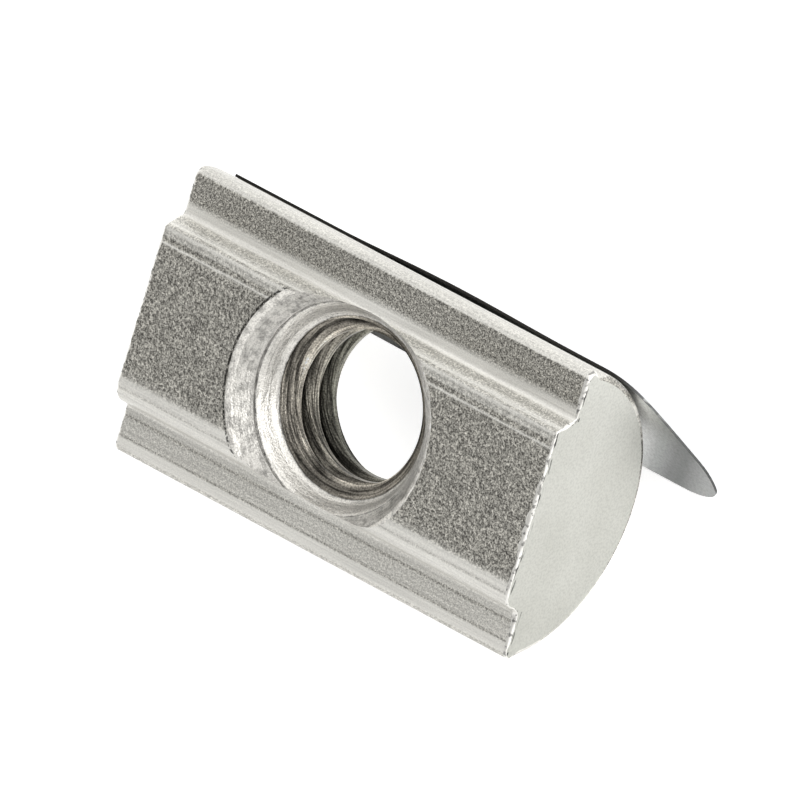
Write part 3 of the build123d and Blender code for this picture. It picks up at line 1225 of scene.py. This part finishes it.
# The slit edges are darkened, partly dark steel and partly painted shade, less so towards the nose
flatness = add_node(
    tree, "ShaderNodeMath", {"operation": "ABSOLUTE"}, {0: outward_facing},
).outputs[0]
edge = add_node(
    tree, "ShaderNodeMath", {"operation": "LESS_THAN", 1: EDGE_BELOW}, {0: flatness},
).outputs[0]
thinner_scale = add_node(
    tree, "ShaderNodeMapRange",
    {"From Min": THINNER_FROM_X * MM, "From Max": THINNER_TO_X * MM, "To Min": 1.0, "To Max": 0.7},
    {"Value": lengthwise},
).outputs[0]
edge = add_node(
    tree, "ShaderNodeMath", {"operation": "MULTIPLY"}, {0: edge, 1: thinner_scale},
).outputs[0]
scaled = add_node(
    tree, "ShaderNodeMix", {"data_type": "RGBA", "B": colour("#2b2a27")},
    {"Factor": edge, "A": tone.outputs["Result"]},
)
shader = add_node(
    tree, "ShaderNodeBsdfPrincipled", {"Metallic": 0.85, "Roughness": 0.38},
    {"Base Color": scaled.outputs["Result"], "Normal": bump.outputs[0]},
)
tree.links.new(shader.outputs[0], output.inputs[0])
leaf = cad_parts["leaf_spring"]
leaf.data.materials.clear()
leaf.data.materials.append(leaf_metal)

# ---------------------------------------------------------------------------
# Floor: a wide sheet of white paper under the nut, at the height of its lowest
# point. Smooth paper is white and dull, fades to plain white around the nut, and
# keeps its soft shadow.
FLOOR_HALF = 3.0
FLOOR_GLOW = 0.55
floor_mesh = bpy.data.meshes.new("floor")
floor_corners = [
    (x * FLOOR_HALF, y * FLOOR_HALF, cad_low[2]) for x, y in ((-1, -1), (1, -1), (1, 1), (-1, 1))
]
floor_mesh.from_pydata(floor_corners, [], [(0, 1, 2, 3)])
floor = bpy.data.objects.new("floor", floor_mesh)
bpy.context.scene.collection.objects.link(floor)
paper, tree, output, place = new_material("white_paper_floor")
path = add_node(tree, "ShaderNodeLightPath")
seen = add_node(
    tree, "ShaderNodeMath", {"operation": "MAXIMUM"},
    {0: path.outputs["Is Camera Ray"], 1: path.outputs["Is Glossy Ray"]},
)
glowing = add_node(
    tree, "ShaderNodeMath", {"operation": "MULTIPLY", 1: FLOOR_GLOW}, {0: seen.outputs[0]},
)
diffuse = add_node(tree, "ShaderNodeBsdfDiffuse", {"Color": colour("#f4f4f4")})
glow = add_node(
    tree, "ShaderNodeEmission", {"Color": (1, 1, 1, 1)}, {"Strength": glowing.outputs[0]},
)
both = add_node(tree, "ShaderNodeAddShader", {}, {0: diffuse.outputs[0], 1: glow.outputs[0]})
tree.links.new(both.outputs[0], output.inputs[0])
floor.data.materials.append(paper)

# ---------------------------------------------------------------------------
# Lights: a white tent with a dim top, so that level faces stay grey and tilted
# ones catch the bright walls. The wall on the side of the one soft window is the
# brightest.
WALL_LIGHT = 1.05
TOP_LIGHT = 0.12
TOP_FADES = (0.64, 0.96)
WINDOW_WAY = (0.72, 0.69, 0)
WINDOW_WALL_LIGHT = 1.6
world = bpy.data.worlds.new("studio_tent")
world.use_nodes = True
bpy.context.scene.world = world
tree = world.node_tree
background = tree.nodes["Background"]
direction = add_node(tree, "ShaderNodeTexCoord").outputs["Generated"]
height = add_node(tree, "ShaderNodeSeparateXYZ", {}, {0: direction}).outputs["Z"]
dim_top = add_node(
    tree, "ShaderNodeMapRange",
    {
        "interpolation_type": "SMOOTHSTEP", "From Min": TOP_FADES[0], "From Max": TOP_FADES[1],
        "To Min": WALL_LIGHT, "To Max": TOP_LIGHT,
    },
    {"Value": height},
).outputs[0]
towards_window = add_node(
    tree, "ShaderNodeVectorMath", {"operation": "DOT_PRODUCT", 1: WINDOW_WAY}, {0: direction},
).outputs["Value"]
near_wall = add_node(
    tree, "ShaderNodeMapRange",
    {
        "interpolation_type": "SMOOTHSTEP", "From Min": 0.3, "From Max": 1.0, "To Min": 1.0,
        "To Max": WINDOW_WALL_LIGHT,
    },
    {"Value": towards_window},
).outputs[0]
tent = add_node(tree, "ShaderNodeMath", {"operation": "MULTIPLY"}, {0: dim_top, 1: near_wall})
tree.links.new(tent.outputs[0], background.inputs["Color"])

WINDOW_PLACE_MM = (640, 310, 250)
WINDOW_SIZE_MM = 420
WINDOW_WATTS = 1.35
window_data = bpy.data.lights.new("window_softbox", "AREA")
window_data.shape = "SQUARE"
window_data.size = WINDOW_SIZE_MM * MM
window_data.energy = WINDOW_WATTS
window = bpy.data.objects.new("window_softbox", window_data)
bpy.context.scene.collection.objects.link(window)
window.location = Vector(WINDOW_PLACE_MM) * MM
window.rotation_euler = (-window.location).to_track_quat("-Z", "Y").to_euler()

bpy.context.scene.view_settings.view_transform = "Standard"
